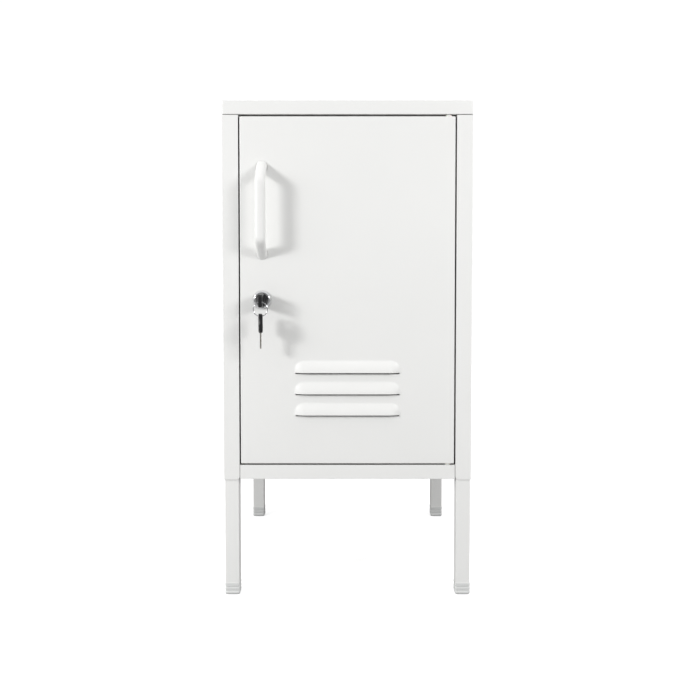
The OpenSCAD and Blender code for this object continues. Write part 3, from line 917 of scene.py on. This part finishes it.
def make_floor():
    """A plain pale floor that the camera sees as nearly white."""
    bm = bmesh.new()
    corners = [(x * FLOOR_HALF, y * FLOOR_HALF, 0) for x, y in ((-1, -1), (1, -1), (1, 1), (-1, 1))]
    bm.faces.new([bm.verts.new(p) for p in corners])
    floor = to_piece("floor", bm)
    finish = Finish("pale_floor", Roughness=0.9, Specular_IOR_Level=0.1)
    seen = finish.add("ShaderNodeLightPath").outputs["Is Camera Ray"]
    pale = finish.blend(finish.noise(3, 2), (0.80, 0.80, 0.80), (0.82, 0.82, 0.82))
    finish.colour(finish.blend(seen, (FLOOR_BOUNCE,) * 3, pale))
    finish.shader.inputs["Emission Color"].default_value = (1, 1, 1, 1)
    finish.link(finish.total(seen, FLOOR_LIFT, "MULTIPLY"), finish.shader.inputs["Emission Strength"])
    floor.data.materials.append(finish.material)


def make_world():
    """White behind the object for the camera, and a softer, dimmer room for everything else."""
    world = bpy.data.worlds.new("studio")
    world.use_nodes = True
    tree = world.node_tree
    background = tree.nodes["Background"]
    background.inputs["Color"].default_value = (1, 1, 1, 1)
    direction = tree.nodes.new("ShaderNodeTexCoord").outputs["Generated"]
    split = tree.nodes.new("ShaderNodeSeparateXYZ")
    tree.links.new(direction, split.inputs[0])
    parts = []
    for side, start, end, low, high in (("Z", 0, 0.7, *ROOM_LIGHT), ("Y", -0.98, -0.6, ROOM_DARK, 1)):
        part = tree.nodes.new("ShaderNodeMapRange")
        part.interpolation_type = "SMOOTHSTEP"
        for name, value in (("From Min", start), ("From Max", end), ("To Min", low), ("To Max", high)):
            part.inputs[name].default_value = value
        tree.links.new(split.outputs[side], part.inputs["Value"])
        parts.append(part.outputs["Result"])
    room = tree.nodes.new("ShaderNodeMath")
    room.operation = "MULTIPLY"
    for part, socket in zip(parts, room.inputs):
        tree.links.new(part, socket)
    seen = tree.nodes.new("ShaderNodeLightPath").outputs["Is Camera Ray"]
    pick = tree.nodes.new("ShaderNodeMix")
    tree.links.new(seen, pick.inputs["Factor"])
    tree.links.new(room.outputs["Value"], pick.inputs["A"])
    pick.inputs["B"].default_value = BACKDROP
    tree.links.new(pick.outputs["Result"], background.inputs["Strength"])
    bpy.context.scene.world = world


def make_studio():
    make_floor()
    make_world()
    add_light("key_light", (-1.54, -1.18, 0.91), 0.3, 16.5)
    add_light("side_light", (-1.98, -1.05, 0.95), 0.7, 7)
    add_light("fill_light", (1.10, -1.083, 0.93), 0.36, 9)
    bpy.context.scene.view_settings.view_transform = "Standard"


def make_camera():
    """The camera stands in front of the door, above the lock, and looks slightly down."""
    data = bpy.data.cameras.new("camera")
    data.lens = CAMERA_LENS
    data.sensor_width = 36
    data.shift_y = CAMERA_SHIFT
    data.clip_start = 0.05
    camera = bpy.data.objects.new("camera", data)
    camera.location = (0, FRONT - CAMERA_BACK, CAMERA_HEIGHT)
    camera.rotation_euler = (math.pi / 2 - math.radians(CAMERA_TILT), 0, 0)
    bpy.context.scene.collection.objects.link(camera)
    bpy.context.scene.camera = camera


make_camera()
make_studio()
make_case()
make_small_parts()
for foot in ("front_left_foot", "front_right_foot", "back_left_foot", "back_right_foot"):
    make_foot(foot)
for fastener, pitch in (("case_screws", 0.7 * MM), ("leg_bolts", 0.8 * MM),
                        ("handle_screws", 0.7 * MM), ("cam_screw", 0.7 * MM)):
    make_screws(fastener, pitch)
make_door()
make_handle()
make_lock()
make_key("key_head", "key_blade")
make_key("spare_key_head", "spare_key_blade")
make_ring()
